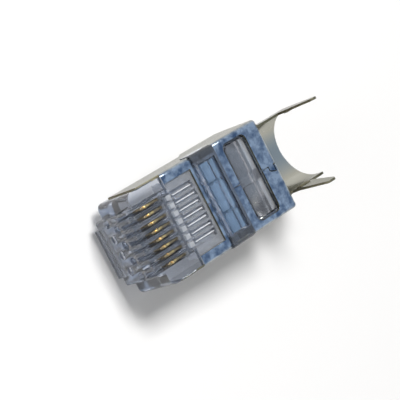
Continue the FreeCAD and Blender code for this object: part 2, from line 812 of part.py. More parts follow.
def main():
    bodies = [make_housing(), make_latch(), make_shield()]
    bodies += [make_jacket_clamp(), make_conductor_clamp()]
    bodies += [make_contact(number, centre) for number, centre in contact_places()]
    check_model(bodies)
    os.makedirs("parts", exist_ok=True)
    for body in bodies:
        body.Shape.exportStep(f"parts/{body.Label}.step")


main()
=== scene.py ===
import json
import math
from functools import wraps

import bmesh
import bpy
from bpy.props import FloatProperty, FloatVectorProperty, IntProperty, PointerProperty
from mathutils import Matrix, Vector
from mathutils.bvhtree import BVHTree


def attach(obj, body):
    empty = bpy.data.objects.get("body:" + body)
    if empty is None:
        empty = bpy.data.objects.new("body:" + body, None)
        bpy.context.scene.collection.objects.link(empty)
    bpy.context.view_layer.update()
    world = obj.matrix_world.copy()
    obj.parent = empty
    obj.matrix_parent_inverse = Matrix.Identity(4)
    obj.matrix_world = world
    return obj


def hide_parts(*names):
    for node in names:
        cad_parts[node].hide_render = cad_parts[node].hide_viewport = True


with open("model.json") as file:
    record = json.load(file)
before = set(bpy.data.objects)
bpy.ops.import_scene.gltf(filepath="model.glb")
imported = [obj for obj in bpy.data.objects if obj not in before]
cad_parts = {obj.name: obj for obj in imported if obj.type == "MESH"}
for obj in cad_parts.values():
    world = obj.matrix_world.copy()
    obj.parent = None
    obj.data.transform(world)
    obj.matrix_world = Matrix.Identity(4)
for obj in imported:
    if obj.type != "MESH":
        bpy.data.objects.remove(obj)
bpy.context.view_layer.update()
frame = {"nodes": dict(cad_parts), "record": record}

bl_info = {
    "name": "Shielded modular plug",
    "version": (1, 0, 0),
    "blender": (4, 5, 0),
    "location": "3D View > Sidebar > Modular Plug",
    "description": "Clear housing, gold blades and folded nickel shield of a modular plug",
    "category": "Object",
}

BLADES = sorted(name for name in frame["nodes"] if name.startswith("contact_"))

# Places on the plug, in metres: X runs from the nose to the tail, Y across, Z up.
# The latch touches the table at its root and at its tip, each given as (x, z).
LATCH_FEET = ((0.0004, -0.00531), (0.0144, -0.00721))
# Low and high corners of boxes round the faces that have a finish of their own: painted
# highlights in the recess, on the wire block and on the bars' rear faces, a painted reflection on
# the pads and painted shade on the bosses.
RECESS = ((0.0052, -0.0052, 0.0022), (0.0114, 0.0052, 0.0031))
WIRE_BLOCK = ((0.0061, -0.0045, 0.00255), (0.0070, 0.0045, 0.0031))
BARS = ((0.012, -0.005, 0.0), (0.021, 0.005, 0.004))
PADS = ((0.012, -0.005, 0.0), (0.0148, 0.005, 0.004))
BOSSES = ((0.0165, -0.005, 0.0), (0.0192, 0.005, 0.004))
# Where the shield's finish changes softly, from start to end: up its sides to the top plates,
# along X past the plates' rear end, and along X into the tail. The top plates carry a painted
# blue reflection and the tail a painted lighter reflection.
TOP_PLATES = (0.0029, 0.0033)
PLATES_END = (0.0240, 0.0250)
TAIL = (0.0235, 0.0260)
# Where the blades' top edges start and end along X; the blades' painted highlights and painted
# dark reflection are laid out along this span.
BLADE_TOPS = (0.0022, 0.0052)

# The CAD facets are welded and joined within the first two, and edges that turn by more
# than the third are rounded.
WELD_DISTANCE = 3e-7
FLAT_ANGLE = math.radians(0.4)
ROUNDED_ANGLE = math.radians(28)
# The housing is drawn in by this, in metres, so that it shares no plane with the shield.
HOUSING_INSET = 0.000006
# A face counts as facing one way when its normal leans that way by at least this.
FACING_LEAST = 0.2
# In sheet thicknesses: how far inside a face its probe starts, and how deep the metal
# behind it is at least where the face is a cut edge.
PROBE_START = 0.02
EDGE_DEPTH = 1.7

POLYCARBONATE_IOR = 1.585
WHITE = (1.0, 1.0, 1.0)
BLACK = (0.0, 0.0, 0.0)
GROUND_WHITE = (0.83, 0.828, 0.825)
# Reflected sky, from the horizon at 0 to straight up at 1.
SKY = (
    (0.0, (0.90, 0.89, 0.86)),
    (0.35, (0.66, 0.71, 0.77)),
    (0.78, (0.37, 0.48, 0.65)),
    (1.0, (0.55, 0.64, 0.76)),
)
# Each lamp's name, place, width, setting that holds its power, and colour.
LAMPS = (
    ("key_lamp", (0.045, 0.25, 0.53), 0.18, "key_power", (1.0, 0.992, 0.985)),
    ("nose_lamp", (-0.30, 0.05, 0.12), 0.14, "fill_power", (0.97, 0.98, 1.0)),
)
LAMP_TARGET = (0.015, 0.0, 0.0)
CAMERA_PLACE = (-0.0923, 0.0200, 0.1437)
CAMERA_AHEAD = (0.586, -0.109, -0.803)
CAMERA_UPWARD = (0.425, 0.885, 0.19)

# A colour mix node's sockets by number, because several of them share a name.
MIX_FACTOR, MIX_FIRST, MIX_SECOND, MIX_RESULT = 0, 6, 7, 2

# Inputs of the fins' node tree, each filled in from the setting of the same name.
FIN_INPUTS = ("Count", "Pitch", "Start", "Length", "Thickness", "Height", "Floor")


# --------------------------------------------------------------------- settings


def tint_setting(name, description, default):
    """Colour that the user can change."""
    return FloatVectorProperty(
        name=name, description=description, subtype="COLOR", size=3, min=0, max=1,
        default=default)


def share_setting(name, description, default):
    """Number between 0 and 1 that the user can change."""
    return FloatProperty(
        name=name, description=description, subtype="FACTOR", min=0, max=1, default=default)


def size_setting(name, description, default, low, high):
    """Distance in metres that the user can change within limits."""
    return FloatProperty(
        name=name, description=description, subtype="DISTANCE", unit="LENGTH",
        min=low, max=high, default=default)


def power_setting(name, description, default):
    """Lamp power in watts that the user can change."""
    return FloatProperty(
        name=name, description=description, subtype="POWER", min=0, default=default)


class PlugFinish(bpy.types.PropertyGroup):
    """Colours and surface qualities of the plug's materials."""

    clear_tint: tint_setting(
        "Clear plastic tint", "Colour seen through the clear plastic", (0.67, 0.70, 0.77))
    clear_share: share_setting(
        "Clear share", "How much light passes straight through the plastic", 0.94)
    clear_roughness: share_setting(
        "Clear plastic roughness", "Haze left by the mould's polish", 0.015)
    # Painted highlights: a pale tint that lets round edges, fins, the recess and the wire block
    # read bright.
    pale_tint: tint_setting(
        "Pale plastic tint", "Colour of round edges, fins and frosted faces", (0.92, 0.95, 1.0))
    # Painted reflection: a blue tint on the pads' upward faces.
    pad_blue: tint_setting(
        "Pad faces", "Cooler glint of the conductor clamp's pads", (0.42, 0.64, 0.95))
    # Painted shade: a deeper grey on the bosses' upward faces.
    boss_grey: tint_setting(
        "Boss faces", "Deeper grey of the jacket clamp's two bosses", (0.44, 0.43, 0.44))
    # These low shares let the painted light tints above and below show.
    edge_clear: share_setting(
        "Clear edges", "Share of light that passes the small round edges", 0.2)
    frost_clear: share_setting(
        "Clear frost", "Share of light that passes the frosted faces", 0.76)
    block_clear: share_setting(
        "Clear block", "Share of light that passes the block behind the blades", 0.58)
    pad_clear: share_setting(
        "Clear pads", "Share of light that passes the pads' faces", 0.74)
    boss_clear: share_setting(
        "Clear bosses", "Share of light that passes the bosses' faces", 0.85)
    nickel: tint_setting(
        "Nickel", "Colour of the plated sheet", (0.46, 0.46, 0.43))
    nickel_glance: tint_setting(
        "Nickel at a glance", "Tint of the nickel seen along its surface", (0.60, 0.60, 0.58))
    nickel_haze: tint_setting(
        "Nickel haze", "Faint warm cast in broad patches of the plating", (0.38, 0.38, 0.35))
    # Painted reflection: the cradle and ears get a nickel of their own for the lighter
    # reflections they show.
    nickel_tail: tint_setting(
        "Nickel on the tail", "Cleaner nickel of the cradle and ears", (0.45, 0.445, 0.395))
    # Painted reflection: a cooler blue nickel on the top plates, for the sky they reflect.
    nickel_top: tint_setting(
        "Nickel on top", "Cooler nickel of the two top plates", (0.50, 0.55, 0.60))
    # Darker blue cloudy patches, laid only on the top plates.
    nickel_stain: tint_setting(
        "Nickel stain", "Darker cloudy patches of the top plates", (0.10, 0.15, 0.23))
    cut_edge: tint_setting(
        "Cut edge", "Bare metal where the sheet was stamped", (0.22, 0.20, 0.13))
    gold: tint_setting(
        "Gold", "Colour of the blades' plating", (0.95, 0.70, 0.32))


class PlugEdges(bpy.types.PropertyGroup):
    """Small radii that moulding, folding and stamping leave on the edges."""

    mould_edge: size_setting(
        "Moulded edge", "Radius of the plastic's outer edges", 0.00010, 0.00001, 0.0005)
    sheet_edge: size_setting(
        "Sheet edge", "Radius of the stamped sheet's edges", 0.00005, 0.00001, 0.0002)
    blade_edge: size_setting(
        "Blade edge", "Radius of the contact blades' edges", 0.00006, 0.00001, 0.00015)
    edge_steps: IntProperty(
        name="Edge steps", description="Faces across each rounded edge", default=2, min=1, max=6)
    sheet_thickness: size_setting(
        "Sheet thickness", "Thickness of the shield's sheet", 0.0003, 0.0001, 0.001)


class PlugFins(bpy.types.PropertyGroup):
    """Thin moulded fins that part the wires behind the contacts."""

    count: IntProperty(
        name="Fins", description="Number of fins side by side", default=7, min=1, max=15)
    pitch: size_setting("Pitch", "Distance from fin to fin", 0.001016, 0.0002, 0.003)
    start: size_setting("Start", "Front end of the fins, from the nose", 0.00735, 0, 0.02)
    length: size_setting("Length", "Length of each fin", 0.003, 0.0005, 0.01)
    thickness: size_setting("Thickness", "Thickness of each fin", 0.00013, 0.00005, 0.0005)
    height: size_setting("Height", "Height of each fin", 0.0004, 0.0001, 0.0008)
    floor: size_setting("Recess floor", "Height that the fins stand at", 0.0024, -0.01, 0.01)
    edge_share: share_setting(
        "Edge share", "Radius of a fin's edges, as a share of its thickness", 0.2)


class PlugStage(bpy.types.PropertyGroup):
    """Ground, lamps, surroundings and lens."""

    ground_width: size_setting("Ground width", "Side of the square ground", 3.0, 0.1, 10)
    white_from: size_setting(
        "White from", "Distance at which the ground starts to fade to white", 0.08, 0.02, 1)
    white_to: size_setting(
        "White to", "Distance beyond which the ground is plain white", 0.30, 0.03, 1.4)
    ground_glow: share_setting(
        "Ground glow", "Lift of the ground near the plug towards white", 0.07)
    key_power: power_setting("Key lamp", "Power of the large soft lamp", 3.3)
    fill_power: power_setting("Fill lamp", "Power of the lamp at the nose", 0.2)
    world_light: share_setting("World light", "Strength of the even light from all round", 0.30)
    lens: FloatProperty(
        name="Lens", description="Focal length of the camera's lens", subtype="DISTANCE_CAMERA",
        unit="CAMERA", default=135.0, min=20)


# ------------------------------------------------------------ node tree helpers


def set_inputs(tree, node, inputs):
    """Give each named input of a node its plain value or its link from a socket."""
    for label, value in inputs.items():
        if isinstance(value, bpy.types.NodeSocket):
            tree.links.new(value, node.inputs[label])
        else:
            node.inputs[label].default_value = value


def add_node(tree, kind, inputs=None, **settings):
    """New node with its settings made first, because they can change its inputs."""
    node = tree.nodes.new(kind)
    for name, value in settings.items():
        setattr(node, name, value)
    set_inputs(tree, node, inputs or {})
    return node


def maths(tree, operation, *values):
    """Result of one operation on plain numbers and sockets."""
    node = add_node(tree, "ShaderNodeMath", dict(enumerate(values)), operation=operation)
    return node.outputs[0]


def ranged(tree, value, start=0.0, end=1.0, low=0.0, high=1.0):
    """Value that goes from low to high as another goes from start to end."""
    node = add_node(tree, "ShaderNodeMapRange", {
        "Value": value, "From Min": start, "From Max": end, "To Min": low, "To Max": high})
    return node.outputs["Result"]


def noise(tree, vector, scale, detail, roughness=0.5):
    """Noise of a given scale in patches per metre."""
    node = add_node(tree, "ShaderNodeTexNoise", {
        "Vector": vector, "Scale": scale, "Detail": detail, "Roughness": roughness})
    return node.outputs["Fac"]


def blended(tree, factor, first, second):
    """Colour between two others, each of them a plain colour or a socket."""
    colours = {
        number: colour if isinstance(colour, bpy.types.NodeSocket) else (*colour, 1)
        for number, colour in ((MIX_FIRST, first), (MIX_SECOND, second))}
    node = add_node(tree, "ShaderNodeMix", {MIX_FACTOR: factor, **colours}, data_type="RGBA")
    return node.outputs[MIX_RESULT]


def fill_ramp(ramp, stops):
    """Set a fresh colour ramp's stops from pairs of position and colour, in order."""
    (start, first), *between, (end, last) = stops
    ramp.elements[0].position = start
    ramp.elements[0].color = (*first, 1)
    ramp.elements[1].position = end
    ramp.elements[1].color = (*last, 1)
    for position, colour in between:
        ramp.elements.new(position).color = (*colour, 1)


def new_group(name, inputs, outputs):
    """Shader node group with named sockets; returns its tree, its inputs and its end."""
    tree = bpy.data.node_groups.new(name, "ShaderNodeTree")
    for label, kind, default in inputs:
        socket = tree.interface.new_socket(label, in_out="INPUT", socket_type=kind)
        socket.default_value = default
    for label in outputs:
        tree.interface.new_socket(label, in_out="OUTPUT", socket_type="NodeSocketFloat")
    return tree, tree.nodes.new("NodeGroupInput").outputs, tree.nodes.new("NodeGroupOutput")


def cloudy_group():
    """Soft patches at two scales, as plating and stained metal have."""
    name = "Cloudy patches"
    if name in bpy.data.node_groups:
        return bpy.data.node_groups[name]
    tree, given, end = new_group(
        name,
        [("Vector", "NodeSocketVector", (0, 0, 0)), ("Patch size", "NodeSocketFloat", 0.002),
         ("Contrast", "NodeSocketFloat", 0.5)],
        ["Mask", "Grain"])
    grains_to_a_patch = 6.0
    per_metre = maths(tree, "DIVIDE", 1.0, given["Patch size"])
    closer = maths(tree, "MULTIPLY", per_metre, grains_to_a_patch)
    broad = noise(tree, given["Vector"], per_metre, detail=3.0, roughness=0.6)
    grain = noise(tree, given["Vector"], closer, detail=4.0, roughness=0.65)
    # The ends of the noise's range draw together as the contrast goes from 0 to 1.
    low_at_none, low_change = 0.22, 0.16
    high_at_none, high_change = 0.80, -0.13
    low = maths(tree, "MULTIPLY_ADD", given["Contrast"], low_change, low_at_none)
    high = maths(tree, "MULTIPLY_ADD", given["Contrast"], high_change, high_at_none)
    set_inputs(tree, end, {"Mask": ranged(tree, broad, low, high), "Grain": grain})
    return tree


def rubbed_group():
    """Fine lines along one direction, left by drawing, stamping and handling."""
    name = "Rubbed lines"
    if name in bpy.data.node_groups:
        return bpy.data.node_groups[name]
    tree, given, end = new_group(
        name,
        [("Vector", "NodeSocketVector", (0, 0, 0)), ("Line width", "NodeSocketFloat", 0.00006),
         ("Stretch", "NodeSocketVector", (0.03, 1.0, 1.0))],
        ["Lines"])
    drawn_out = add_node(tree, "ShaderNodeVectorMath", {
        0: given["Vector"], 1: given["Stretch"]}, operation="MULTIPLY")
    per_metre = maths(tree, "DIVIDE", 1.0, given["Line width"])
    lines = noise(tree, drawn_out.outputs[0], per_metre, detail=2.0)
    set_inputs(tree, end, {"Lines": lines})
    return tree


def clouds(tree, place, patch_size, contrast):
    """Mask of soft patches, and a finer grain."""
    node = add_node(tree, "ShaderNodeGroup", {
        "Vector": place, "Patch size": patch_size, "Contrast": contrast},
        node_tree=cloudy_group())
    return node.outputs["Mask"], node.outputs["Grain"]


def rubs(tree, place, line_width, stretch):
    """Mask of fine lines, long where the stretch is small."""
    node = add_node(tree, "ShaderNodeGroup", {
        "Vector": place, "Line width": line_width, "Stretch": stretch},
        node_tree=rubbed_group())
    return node.outputs["Lines"]


def bump(tree, height, depth, strength):
    """Normal of a surface whose relief has this depth in metres."""
    node = add_node(tree, "ShaderNodeBump", {
        "Height": height, "Distance": depth, "Strength": strength})
    return node.outputs["Normal"]


# -------------------------------------------------------------------- materials


def finish_maker(fill):
    """Turn a function that returns a shader's inputs into one that makes its material.

    The material takes the function's name, is made once and is handed back after that.
    """

    @wraps(fill)
    def make():
        name = fill.__name__
        if name not in bpy.data.materials:
            material = bpy.data.materials.new(name)
            material.use_nodes = True
            tree = material.node_tree
            place = tree.nodes.new("ShaderNodeTexCoord").outputs["Object"]
            inputs = fill(tree, place, bpy.context.scene)
            set_inputs(tree, tree.nodes["Principled BSDF"], inputs)
        return bpy.data.materials[name]

    return make


@finish_maker
def clear_plastic(tree, place, scene):
    """Polished clear polycarbonate with a faint smoke tint and slight flow marks."""
    finish = scene.plug_finish
    flow, grain = clouds(tree, place, patch_size=0.0016, contrast=1.0)
    lines = rubs(tree, place, line_width=0.00007, stretch=(1.0, 0.06, 0.4))
    worn = ranged(tree, lines, start=0.62, end=0.78)
    hazed = maths(tree, "ADD", flow, worn)
    haze = finish.clear_roughness
    return {
        "Base Color": (*finish.clear_tint, 1),
        "Transmission Weight": finish.clear_share,
        "IOR": POLYCARBONATE_IOR,
        "Roughness": ranged(tree, hazed, end=2.0, low=haze * 0.4, high=haze * 4),
        "Normal": bump(tree, grain, depth=0.000007, strength=0.5),
    }


def pale_inputs(tree, place, tint, clear_share):
    """Shader inputs of less clear plastic in a tint that stands in for light or shade, with small
    flow marks.
    """
    marks, grain = clouds(tree, place, patch_size=0.0006, contrast=0.7)
    duller = [channel * 0.7 for channel in tint]
    return {
        "Base Color": blended(tree, marks, tint, duller),
        "Transmission Weight": clear_share,
        "IOR": POLYCARBONATE_IOR,
        "Roughness": ranged(tree, grain, low=0.05, high=0.25),
    }


@finish_maker
def moulded_edge(tree, place, scene):
    """Pale, less clear plastic of the small round edges and the thin fins: painted highlights."""
    finish = scene.plug_finish
    return pale_inputs(tree, place, finish.pale_tint, finish.edge_clear)


@finish_maker
def frosted_plastic(tree, place, scene):
    """Finely frosted plastic of the recess and of the bars' rear faces, paler and less clear as a
    painted highlight.
    """
    finish = scene.plug_finish
    return pale_inputs(tree, place, finish.pale_tint, finish.frost_clear)


@finish_maker
def block_face(tree, place, scene):
    """Paler, less clear plastic of the small blocks between the blades and the recess: a painted
    highlight.
    """
    finish = scene.plug_finish
    return pale_inputs(tree, place, finish.pale_tint, finish.block_clear)


@finish_maker
def pad_face(tree, place, scene):
    """Bluish, less clear plastic of the conductor clamp's three pads: a painted blue reflection.
    """
    finish = scene.plug_finish
    return pale_inputs(tree, place, finish.pad_blue, finish.pad_clear)


@finish_maker
def boss_face(tree, place, scene):
    """Greyer, less clear plastic of the jacket clamp's two bosses: painted shade."""
    finish = scene.plug_finish
    return pale_inputs(tree, place, finish.boss_grey, finish.boss_clear)


@finish_maker
def plated_nickel(tree, place, scene):
    """Bright nickel on folded sheet, with darker blue cloudy patches on the top plates and fine
    rubbed lines; a painted blue reflection covers the top plates and a painted lighter reflection
    the tail.
    """
    finish = scene.plug_finish
    patches, grain = clouds(tree, place, patch_size=0.0010, contrast=1.0)
    haze, _ = clouds(tree, place, patch_size=0.006, contrast=0.4)
    lines = rubs(tree, place, line_width=0.00009, stretch=(1.0, 0.05, 0.3))

    point = add_node(tree, "ShaderNodeSeparateXYZ", {0: place}).outputs
    above = ranged(tree, point["Z"], *TOP_PLATES)
    ahead = ranged(tree, point["X"], *PLATES_END, low=1.0, high=0.0)
    top = maths(tree, "MULTIPLY", above, ahead)
    # Darker blue cloudy patches, only on the top plates.
    top_patches = maths(tree, "MULTIPLY", patches, top)
    # Painted reflection: the tail blends to its lighter nickel along X.
    tail = ranged(tree, point["X"], *TAIL)

    colour = blended(tree, haze, finish.nickel, finish.nickel_haze)
    colour = blended(tree, tail, colour, finish.nickel_tail)
    # Painted reflection: the top plates blend to the cooler blue nickel.
    colour = blended(tree, top, colour, finish.nickel_top)
    colour = blended(tree, top_patches, colour, finish.nickel_stain)
    relief = maths(tree, "ADD", grain, lines)
    return {
        "Base Color": colour,
        "Metallic": 1.0,
        "Specular Tint": (*finish.nickel_glance, 1),
        "Roughness": ranged(tree, grain, start=0.3, end=0.7, low=0.10, high=0.26),
        "Normal": bump(tree, relief, depth=0.000012, strength=0.6),
    }


@finish_maker
def stamped_edge(tree, place, scene):
    """Bare, slightly tarnished metal on the sheet's cut edges."""
    bare = scene.plug_finish.cut_edge
    tarnish, grain = clouds(tree, place, patch_size=0.0005, contrast=0.6)
    darker = [channel * 0.5 for channel in bare]
    return {
        "Base Color": blended(tree, tarnish, bare, darker),
        "Metallic": 1.0,
        "Roughness": ranged(tree, grain, low=0.3, high=0.55),
        "Normal": bump(tree, grain, depth=0.00002, strength=0.7),
    }


@finish_maker
def gold_plate(tree, place, scene):
    """Gold flash over the blades, with two painted highlights as bright beads along the top and a
    painted dark reflection elsewhere.
    """
    gold = scene.plug_finish.gold
    # Painted dark reflection: darker gold over most of the blade.
    dark_reflection_gold = [channel * share for channel, share in zip(gold, (0.38, 0.40, 0.55))]
    wear, grain = clouds(tree, place, patch_size=0.0004, contrast=0.7)
    along = add_node(tree, "ShaderNodeSeparateXYZ", {0: place}).outputs["X"]
    # Painted highlights: two bright beads along X.
    highlight_beads = add_node(tree, "ShaderNodeValToRGB", {"Fac": ranged(tree, along, *BLADE_TOPS)})
    fill_ramp(highlight_beads.color_ramp, (
        (0.05, dark_reflection_gold), (0.14, gold), (0.25, gold), (0.33, dark_reflection_gold), (0.40, gold), (0.52, gold),
        (0.60, dark_reflection_gold)))
    return {
        "Base Color": blended(tree, wear, highlight_beads.outputs["Color"], dark_reflection_gold),
        "Metallic": 1.0,
        "Roughness": ranged(tree, grain, low=0.1, high=0.3),
        "Normal": bump(tree, grain, depth=0.000006, strength=0.5),
    }


@finish_maker
def pale_ground(tree, place, scene):
    """Matt white ground that keeps a shadow near the plug and is plain white further out."""
    stage = scene.plug_stage
    away = add_node(tree, "ShaderNodeVectorMath", {0: place}, operation="LENGTH").outputs["Value"]
    fade = ranged(tree, away, stage.white_from, stage.white_to)
    glow = ranged(tree, away, stage.white_from, stage.white_to, low=stage.ground_glow)
    rays = tree.nodes.new("ShaderNodeLightPath").outputs
    seen = maths(tree, "MAXIMUM", rays["Is Camera Ray"], rays["Is Glossy Ray"])
    seen = maths(tree, "MAXIMUM", seen, rays["Is Transmission Ray"])
    return {
        "Base Color": blended(tree, fade, GROUND_WHITE, BLACK),
        "Roughness": 0.9,
        "Specular IOR Level": 0.1,
        "Emission Color": (*WHITE, 1),
        "Emission Strength": maths(tree, "MULTIPLY", seen, glow),
    }


# ----------------------------------------------------------------- mesh helpers


def in_scene(name, data):
    """New object of the scene that holds this data."""
    thing = bpy.data.objects.new(name, data)
    bpy.context.scene.collection.objects.link(thing)
    return thing


def merged_mesh(node, inset=0.0):
    """One closed mesh of a CAD node, flat faces joined, drawn in by a hair if asked."""
    work = bmesh.new()
    work.from_mesh(frame["nodes"][node].data)
    bmesh.ops.remove_doubles(work, verts=work.verts, dist=WELD_DISTANCE)
    bmesh.ops.dissolve_limit(work, angle_limit=FLAT_ANGLE, verts=work.verts, edges=work.edges)
    work.normal_update()
    if inset:
        for vertex in work.verts:
            vertex.co -= vertex.normal * inset
    mesh = bpy.data.meshes.new(f"{node}_merged")
    work.to_mesh(mesh)
    work.free()
    return mesh


def apply_modifiers(piece):
    """Replace a piece's mesh by its evaluated one and drop its modifiers."""
    graph = bpy.context.evaluated_depsgraph_get()
    mesh = bpy.data.meshes.new_from_object(piece.evaluated_get(graph), depsgraph=graph)
    piece.modifiers.clear()
    piece.data = mesh


def add_bevel(piece, radius, steps):
    """Round a piece's edges."""
    bevel = piece.modifiers.new("round_edges", "BEVEL")
    bevel.width = radius
    bevel.segments = steps
    return bevel


def softened(node, name, radius, materials, edge_slot=-1, inset=0.0):
    """Copy of a CAD node with small round edges, even shading and its finishes."""
    piece = in_scene(name, merged_mesh(node, inset))
    for material in materials:
        piece.data.materials.append(material)
    bevel = add_bevel(piece, radius, bpy.context.scene.plug_edges.edge_steps)
    bevel.limit_method = "ANGLE"
    bevel.angle_limit = ROUNDED_ANGLE
    bevel.miter_outer = "MITER_ARC"
    # Round edges take the finish in this slot; for the plastic pieces it is the pale plastic of
    # painted highlights.
    bevel.material = edge_slot
    even = piece.modifiers.new("even_shading", "WEIGHTED_NORMAL")
    even.keep_sharp = True
    for face in piece.data.polygons:
        face.use_smooth = True
    apply_modifiers(piece)
    return piece


def refinish(piece, box, material, facing=None):
    """Give another of the piece's finishes to the faces in a box that face one way, or to all."""
    low, high = box
    number = piece.data.materials.find(material.name)
    for face in piece.data.polygons:
        inside = all(a < c < b for a, c, b in zip(low, face.center, high))
        if inside and (facing is None or face.normal.dot(Vector(facing)) > FACING_LEAST):
            face.material_index = number


def mark_cut_edges(piece, material, thickness):
    """Give another finish to the faces with metal behind them deeper than the sheet."""
    mesh = piece.data
    number = mesh.materials.find(material.name)
    mesh.calc_loop_triangles()
    triangles = mesh.loop_triangles
    tree = BVHTree.FromPolygons([vertex.co for vertex in mesh.vertices],
                                [tuple(triangle.vertices) for triangle in triangles])
    widest = {}
    for triangle in triangles:
        best = widest.get(triangle.polygon_index)
        if best is None or triangle.area > best.area:
            widest[triangle.polygon_index] = triangle
    for index, triangle in widest.items():
        inward = -triangle.normal
        corners = [mesh.vertices[corner].co for corner in triangle.vertices]
        middle = sum(corners, Vector()) / len(corners)
        _, _, _, depth = tree.ray_cast(middle + inward * thickness * PROBE_START, inward)
        if depth is not None and depth > thickness * EDGE_DEPTH:
            mesh.polygons[index].material_index = number


def body_of_node(node):
    """Name of the body that carries a CAD node."""
    for body, nodes in frame["record"]["behaviour"]["bodies"].items():
        if node in nodes:
            return body
    raise KeyError(node)


def stand_in(piece, node):
    """Let a piece ride and show in the place of its CAD node."""
    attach(piece, body_of_node(node))
    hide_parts(node)


# ---------------------------------------------------------------- repeated fins


def fin_tree(material):
    """Row of equal fins across the plug, as a node tree with named sizes."""
    tree = bpy.data.node_groups.new("Wire guide fins", "GeometryNodeTree")
    tree.interface.new_socket("Geometry", in_out="INPUT", socket_type="NodeSocketGeometry")
    for label in FIN_INPUTS:
        kind = "NodeSocketInt" if label == "Count" else "NodeSocketFloat"
        tree.interface.new_socket(label, in_out="INPUT", socket_type=kind)
    tree.interface.new_socket("Geometry", in_out="OUTPUT", socket_type="NodeSocketGeometry")
    sizes = tree.nodes.new("NodeGroupInput").outputs
    end = tree.nodes.new("NodeGroupOutput")

    # The row is centred across the plug, and each fin is placed by its middle.
    gaps = maths(tree, "SUBTRACT", sizes["Count"], 1.0)
    span = maths(tree, "MULTIPLY", gaps, sizes["Pitch"])
    side = maths(tree, "MULTIPLY", span, -0.5)
    middle = maths(tree, "MULTIPLY_ADD", sizes["Length"], 0.5, sizes["Start"])
    level = maths(tree, "MULTIPLY_ADD", sizes["Height"], 0.5, sizes["Floor"])
    first = add_node(tree, "ShaderNodeCombineXYZ", {"X": middle, "Y": side, "Z": level})
    step = add_node(tree, "ShaderNodeCombineXYZ", {"Y": sizes["Pitch"]})
    row = add_node(tree, "GeometryNodeMeshLine", {
        "Count": sizes["Count"], "Start Location": first.outputs[0], "Offset": step.outputs[0]},
        mode="OFFSET")

    extent = add_node(tree, "ShaderNodeCombineXYZ", {
        "X": sizes["Length"], "Y": sizes["Thickness"], "Z": sizes["Height"]})
    fin = add_node(tree, "GeometryNodeMeshCube", {"Size": extent.outputs[0]})
    placed = add_node(tree, "GeometryNodeInstanceOnPoints", {
        "Points": row.outputs["Mesh"], "Instance": fin.outputs["Mesh"]})
    real = add_node(tree, "GeometryNodeRealizeInstances", {0: placed.outputs["Instances"]})
    coated = add_node(tree, "GeometryNodeSetMaterial", {
        "Geometry": real.outputs[0], "Material": material})
    set_inputs(tree, end, {"Geometry": coated.outputs[0]})
    return tree


def set_fin_sizes(modifier, fins):
    """Fill in the fin tree's inputs from the settings, through their identifiers."""
    for item in modifier.node_group.interface.items_tree:
        if item.name in FIN_INPUTS:
            modifier[item.identifier] = getattr(fins, item.name.lower())


# -------------------------------------------------------------------- operators


class PLUG_OT_housing(bpy.types.Operator):
    """Dress the clear moulded housing"""

    bl_idname = "plug.housing"
    bl_label = "Clear housing"

    def execute(self, context):
        edges = context.scene.plug_edges
        finishes = (clear_plastic(), moulded_edge(), frosted_plastic(), block_face())
        piece = softened("housing", "clear_housing", edges.mould_edge, finishes,
                         edge_slot=1, inset=HOUSING_INSET)
        # Painted highlights: paler, less clear plastic in the recess and on the wire block.
        refinish(piece, RECESS, frosted_plastic())
        refinish(piece, WIRE_BLOCK, block_face())
        stand_in(piece, "housing")
        return {"FINISHED"}


class PLUG_OT_fins(bpy.types.Operator):
    """Set the row of wire guide fins into the recess"""

    bl_idname = "plug.fins"
    bl_label = "Wire guide fins"

    def execute(self, context):
        fins = context.scene.plug_fins
        piece = in_scene("guide_fins", bpy.data.meshes.new("guide_fins"))
        modifier = piece.modifiers.new("fins", "NODES")
        # The fins take the pale plastic of painted highlights.
        modifier.node_group = fin_tree(moulded_edge())
        set_fin_sizes(modifier, fins)
        apply_modifiers(piece)
        add_bevel(piece, fins.thickness * fins.edge_share, steps=2)
        apply_modifiers(piece)
        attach(piece, body_of_node("housing"))
        return {"FINISHED"}


class PLUG_OT_latch(bpy.types.Operator):
    """Dress the flexible latch arm"""

    bl_idname = "plug.latch"
    bl_label = "Latch arm"

    def execute(self, context):
        edges = context.scene.plug_edges
        piece = softened("latch", "clear_latch", edges.mould_edge,
                         (clear_plastic(), moulded_edge()), edge_slot=1)
        stand_in(piece, "latch")
        return {"FINISHED"}


class PLUG_OT_strain_reliefs(bpy.types.Operator):
    """Dress the two folding strain relief bars"""

    bl_idname = "plug.strain_reliefs"
    bl_label = "Strain relief bars"

    def execute(self, context):
        edges = context.scene.plug_edges
        finishes = (clear_plastic(), moulded_edge(), frosted_plastic(), pad_face(), boss_face())
        rearward, upward = (1, 0, 0), (0, 0, 1)
        for node in ("jacket_clamp", "conductor_clamp"):
            piece = softened(node, f"clear_{node}", edges.mould_edge, finishes, edge_slot=1)
            # Painted highlight on the bars' rear faces, painted reflection on the pads, painted
            # shade on the bosses.
            refinish(piece, BARS, frosted_plastic(), facing=rearward)
            refinish(piece, PADS, pad_face(), facing=upward)
            refinish(piece, BOSSES, boss_face(), facing=upward)
            stand_in(piece, node)
        return {"FINISHED"}


class PLUG_OT_blades(bpy.types.Operator):
    """Dress the gold contact blades"""

    bl_idname = "plug.blades"
    bl_label = "Gold blades"

    def execute(self, context):
        edges = context.scene.plug_edges
        for node in BLADES:
            piece = softened(node, node.replace("contact", "gold_blade"), edges.blade_edge,
                             (gold_plate(),))
            stand_in(piece, node)
        return {"FINISHED"}


class PLUG_OT_shield(bpy.types.Operator):
    """Dress the folded shield with its cradle and ears"""

    bl_idname = "plug.shield"
    bl_label = "Folded shield"

    def execute(self, context):
        edges = context.scene.plug_edges
        piece = softened("shield", "folded_shield", edges.sheet_edge,
                         (plated_nickel(), stamped_edge()))
        mark_cut_edges(piece, stamped_edge(), edges.sheet_thickness)
        stand_in(piece, "shield")
        return {"FINISHED"}


